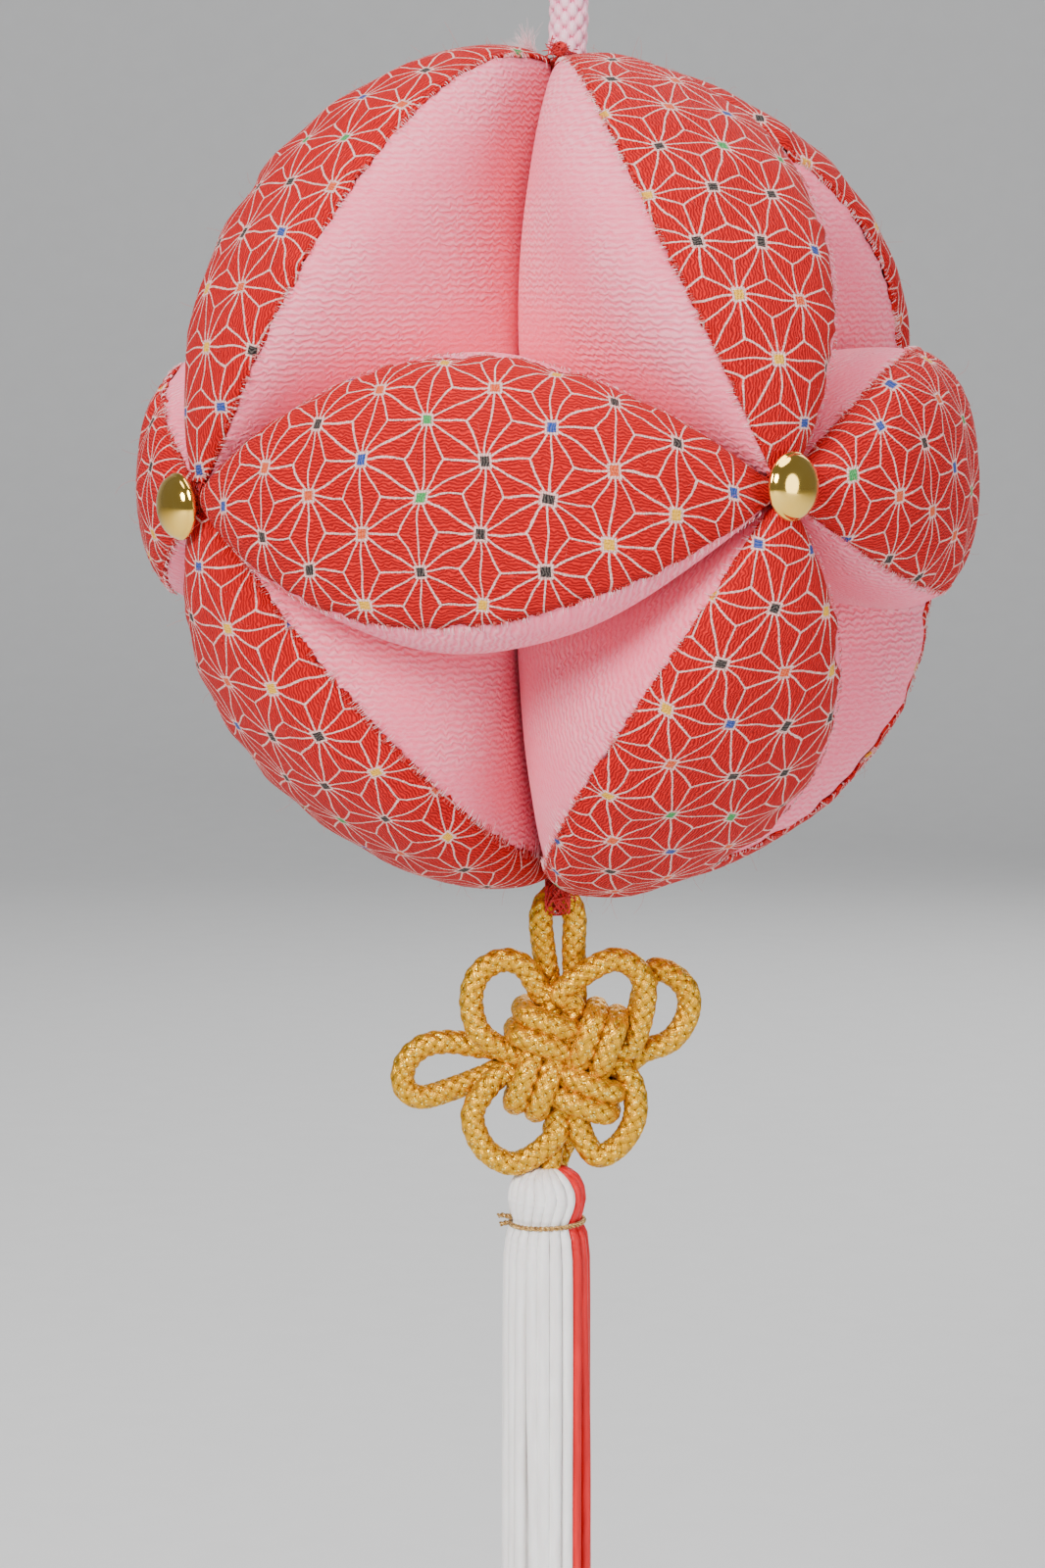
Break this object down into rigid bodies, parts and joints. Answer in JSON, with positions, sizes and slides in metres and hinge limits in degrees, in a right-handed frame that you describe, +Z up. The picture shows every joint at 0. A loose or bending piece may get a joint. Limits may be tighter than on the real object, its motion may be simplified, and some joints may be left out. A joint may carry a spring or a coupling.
{
  "type": "hanging temari ball",
  "caption": "Hanging ball of stuffed cloth wedges sewn at their tips, with dome buttons, a hanging cord loop, a gold good-luck knot and a tassel.",
  "frame": {"origin": "the point under the top of the hanging loop where a hook or a nail carries it", "axes": "+Z up along the hanging cord, -Y towards the front, +X to the right seen from the front"},
  "size_m": [0.1292, 0.1307, 0.339],
  "materials": {
    "pink_crepe": "soft matte crepe with fine wavy ribs",
    "red_weave": "ribbed crepe with a woven hemp-leaf lattice and coloured star centres",
    "gold_button": "polished gold plate",
    "red_thread": "sewing thread",
    "pink_cord": "round braided cord, soft satin",
    "gold_cord": "metallic gold braided cord with a sparkle",
    "white_strands": "smooth twisted strands",
    "red_strands": "smooth twisted strands",
    "gold_wire": "thin metallic gold thread"
  },
  "bodies": {
    "root": {"button_back_left": "gold_button", "button_back_right": "gold_button", "button_front_left": "gold_button", "button_front_right": "gold_button", "crown_back_left-front_left": "red_weave", "crown_back_right-back_left": "red_weave", "crown_bottom-back_left": "red_weave", "crown_bottom-back_right": "red_weave", "crown_bottom-front_left": "red_weave", "crown_bottom-front_right": "red_weave", "crown_front_left-front_right": "red_weave", "crown_front_right-back_right": "red_weave", "crown_top-back_left": "red_weave", "crown_top-back_right": "red_weave", "crown_top-front_left": "red_weave", "crown_top-front_right": "red_weave", "gold_knot": "gold_cord", "hang_cord": "pink_cord", "hang_whipping": "red_thread", "lashing_back_left": "red_thread", "lashing_back_right": "red_thread", "lashing_bottom": "red_thread", "lashing_front_left": "red_thread", "lashing_front_right": "red_thread", "lashing_top": "red_thread", "segment_back_left-front_left": "pink_crepe", "segment_back_right-back_left": "pink_crepe", "segment_bottom-back_left": "pink_crepe", "segment_bottom-back_right": "pink_crepe", "segment_bottom-front_left": "pink_crepe", "segment_bottom-front_right": "pink_crepe", "segment_front_left-front_right": "pink_crepe", "segment_front_right-back_right": "pink_crepe", "segment_top-back_left": "pink_crepe", "segment_top-back_right": "pink_crepe", "segment_top-front_left": "pink_crepe", "segment_top-front_right": "pink_crepe", "tassel_red": "red_strands", "tassel_tie": "gold_wire", "tassel_white": "white_strands", "thread_bottom": "red_thread", "thread_top": "red_thread"}
  },
  "joints": []
}
